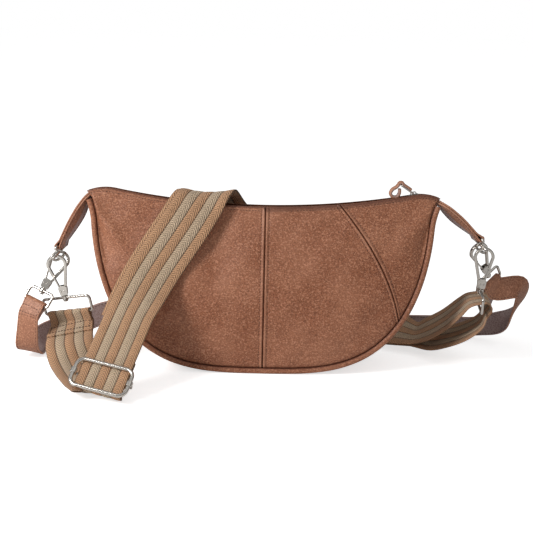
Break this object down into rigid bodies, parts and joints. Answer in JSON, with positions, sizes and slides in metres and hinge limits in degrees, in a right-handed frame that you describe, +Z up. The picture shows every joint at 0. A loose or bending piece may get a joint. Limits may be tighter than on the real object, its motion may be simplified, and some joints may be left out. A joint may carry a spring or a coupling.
{
  "type": "half moon shoulder bag",
  "caption": "Half moon leather shoulder bag with a zip along its curved top, corner D-rings, and a wide woven strap and a narrow leather strap held by snap hooks.",
  "frame": {"origin": "middle of the flat underside that the bag stands on", "axes": "+X is to the viewer's right along the bag's length, +Y points from the front panels to the back panel, +Z is up"},
  "size_m": [0.5491, 0.2321, 0.1938],
  "materials": {
    "brown_leather": "pebbled, semi matte",
    "edge_leather": "pebbled, semi matte",
    "strap_leather": "smooth grain, semi matte",
    "webbing": "woven, five corded stripes",
    "lining": "plain woven",
    "zip_cloth": "plain woven",
    "zip_nylon": "satin",
    "nickel": "polished, light nickel"
  },
  "bodies": {
    "bag": {"front_panel_outer_left": "brown_leather", "front_panel_inner_left": "brown_leather", "front_panel_inner_right": "brown_leather", "front_panel_outer_right": "brown_leather", "back_panel": "brown_leather", "front_piping": "edge_leather", "back_piping": "edge_leather", "bottom_gusset": "brown_leather", "lining": "lining", "zip_tape_front": "zip_cloth", "zip_tape_back": "zip_cloth", "zip_teeth_front": "zip_nylon", "zip_teeth_back": "zip_nylon", "zip_stop_left": "nickel", "zip_stop_right": "nickel", "tab_left": "brown_leather", "tab_right": "brown_leather", "webbing_left_end": "webbing", "webbing_outer_front": "webbing", "webbing_inner_front": "webbing", "webbing_outer_back": "webbing", "webbing_inner_back": "webbing", "webbing_right_loop": "webbing", "leather_strap_left": "strap_leather", "leather_strap_middle": "strap_leather", "leather_strap_right": "strap_leather"},
    "slider": {"zip_slider": "nickel"},
    "zip_pull": {"zip_pull_link": "nickel", "zip_pull_thong": "strap_leather"},
    "d_ring_left": {"d_ring_left": "nickel"},
    "d_ring_right": {"d_ring_right": "nickel"},
    "ring_webbing_left": {"ring_webbing_left": "nickel"},
    "hook_webbing_left": {"hook_webbing_left": "nickel"},
    "gate_webbing_left": {"gate_webbing_left": "nickel"},
    "ring_leather_left": {"ring_leather_left": "nickel"},
    "hook_leather_left": {"hook_leather_left": "nickel"},
    "gate_leather_left": {"gate_leather_left": "nickel"},
    "ring_webbing_right": {"ring_webbing_right": "nickel"},
    "hook_webbing_right": {"hook_webbing_right": "nickel"},
    "gate_webbing_right": {"gate_webbing_right": "nickel"},
    "ring_leather_right": {"ring_leather_right": "nickel"},
    "hook_leather_right": {"hook_leather_right": "nickel"},
    "gate_leather_right": {"gate_leather_right": "nickel"},
    "buckle": {"slide_buckle_frame": "nickel", "slide_buckle_bar": "nickel", "webbing_tail": "webbing"}
  },
  "joints": [
    {"name": "zip_run", "type": "hinge", "parent": "bag", "child": "slider", "pos_m": [0, 0, 0.9422], "axis": [0, 1, 0], "range_deg": [0, 10.8]},
    {"name": "zip_pull_swing", "type": "hinge", "parent": "slider", "child": "zip_pull", "pos_m": [0.1523, 0, 0.18287], "axis": [0, 1, 0], "range_deg": [0, 40]},
    {"name": "d_ring_left_swing", "type": "hinge", "parent": "bag", "child": "d_ring_left", "pos_m": [-0.2075, -0.00114, 0.12128], "axis": [0.2294, 0.9718, -0.0544], "range_deg": [-3, 1]},
    {"name": "d_ring_right_swing", "type": "hinge", "parent": "bag", "child": "d_ring_right", "pos_m": [0.22059, -0.00114, 0.13868], "axis": [-0.2112, 0.974, -0.0818], "range_deg": [-1, 3]},
    {"name": "ring_webbing_left_swing", "type": "hinge", "parent": "bag", "child": "ring_webbing_left", "pos_m": [-0.1999, -0.00828, 0.05042], "axis": [0.9228, -0.3209, 0.2132], "range_deg": [-0.8, 0.2]},
    {"name": "hook_webbing_left_swivel", "type": "hinge", "parent": "ring_webbing_left", "child": "hook_webbing_left", "pos_m": [-0.20425, -0.00828, 0.06922], "axis": [-0.2251, 0, 0.9743], "range_deg": [-3, 12]},
    {"name": "gate_webbing_left_spring", "type": "hinge", "parent": "hook_webbing_left", "child": "gate_webbing_left", "pos_m": [-0.20771, -0.00828, 0.07355], "axis": [0, 1, 0], "range_deg": [0, 20], "stiffness_Nm_per_rad": 0.02, "springref_deg": -5.73},
    {"name": "ring_leather_left_swing", "type": "hinge", "parent": "bag", "child": "ring_leather_left", "pos_m": [-0.23339, -0.01467, 0.06202], "axis": [0.8532, -0.4565, -0.2524], "range_deg": [0, 1]},
    {"name": "hook_leather_left_swivel", "type": "hinge", "parent": "ring_leather_left", "child": "hook_leather_left", "pos_m": [-0.22569, -0.00802, 0.07602], "axis": [0.4449, 0.3843, 0.8089], "range_deg": [-2, 15]},
    {"name": "gate_leather_left_spring", "type": "hinge", "parent": "hook_leather_left", "child": "gate_leather_left", "pos_m": [-0.22561, -0.00562, 0.08102], "axis": [0.0092, 0.9013, -0.4332], "range_deg": [0, 20], "stiffness_Nm_per_rad": 0.02, "springref_deg": -5.73},
    {"name": "ring_webbing_right_swing", "type": "hinge", "parent": "bag", "child": "ring_webbing_right", "pos_m": [0.22611, -0.0083, 0.06721], "axis": [0.0799, 0.9968, -0.0024], "range_deg": [-0.8, 0.1]},
    {"name": "hook_webbing_right_swivel", "type": "hinge", "parent": "ring_webbing_right", "child": "hook_webbing_right", "pos_m": [0.22669, -0.0083, 0.0865], "axis": [0.03, 0, 0.9996], "range_deg": [-5, 15]},
    {"name": "gate_webbing_right_spring", "type": "hinge", "parent": "hook_webbing_right", "child": "gate_webbing_right", "pos_m": [0.22923, -0.0083, 0.09143], "axis": [0, -1, 0], "range_deg": [0, 20], "stiffness_Nm_per_rad": 0.02, "springref_deg": -5.73},
    {"name": "ring_leather_right_swing", "type": "hinge", "parent": "bag", "child": "ring_leather_right", "pos_m": [0.24545, 0.03259, 0.08084], "axis": [0.7075, 0.4031, 0.5805], "range_deg": [-2, 0.2]},
    {"name": "hook_leather_right_swivel", "type": "hinge", "parent": "ring_leather_right", "child": "hook_leather_right", "pos_m": [0.23854, 0.02481, 0.09466], "axis": [-0.3995, -0.4494, 0.799], "range_deg": [-15, 15]},
    {"name": "gate_leather_right_spring", "type": "hinge", "parent": "hook_leather_right", "child": "gate_leather_right", "pos_m": [0.23455, 0.0221, 0.0974], "axis": [-0.3912, 0.8718, 0.2948], "range_deg": [0, 20], "stiffness_Nm_per_rad": 0.02, "springref_deg": -5.73},
    {"name": "strap_length", "type": "slide", "parent": "bag", "child": "buckle", "axis": [0.2906, 0.6665, 0.6865], "range_m": [0, 0.034]}
  ]
}
